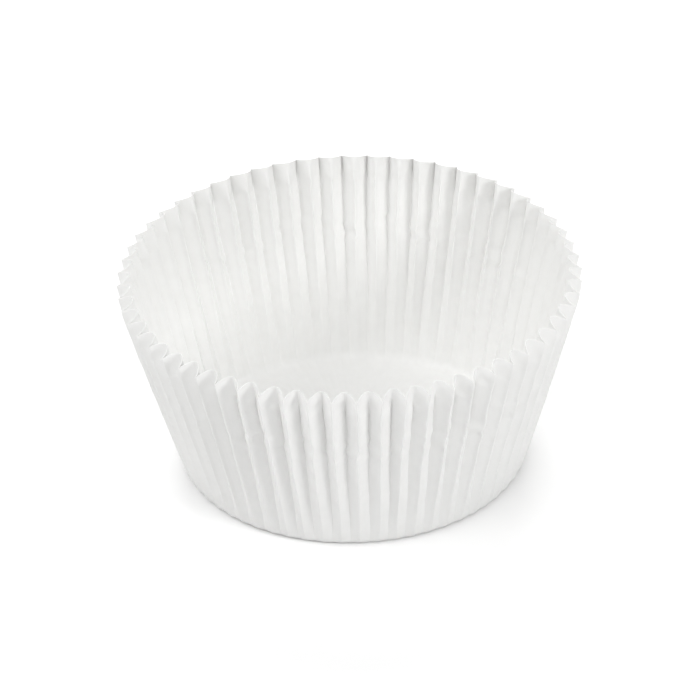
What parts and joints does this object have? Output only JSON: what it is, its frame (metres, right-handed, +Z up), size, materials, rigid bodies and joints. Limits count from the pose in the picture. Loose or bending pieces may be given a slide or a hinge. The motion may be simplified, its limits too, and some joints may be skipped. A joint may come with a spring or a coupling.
{
  "type": "paper candy cup",
  "caption": "Fluted paper cup for one sweet or small cake: flat round base, small rounded corner and a flared wall of pleats with a scalloped rim.",
  "frame": {"origin": "centre of the round base on the surface the cup stands on", "axes": "+Z up along the cup's axis, out of its mouth; +X and +Y are any two directions square to it, as the cup is alike all round"},
  "size_m": [0.0688, 0.0688, 0.0314],
  "materials": {
    "white_paper": "matt"
  },
  "bodies": {
    "root": {"pleated_cup": "white_paper"}
  },
  "joints": []
}
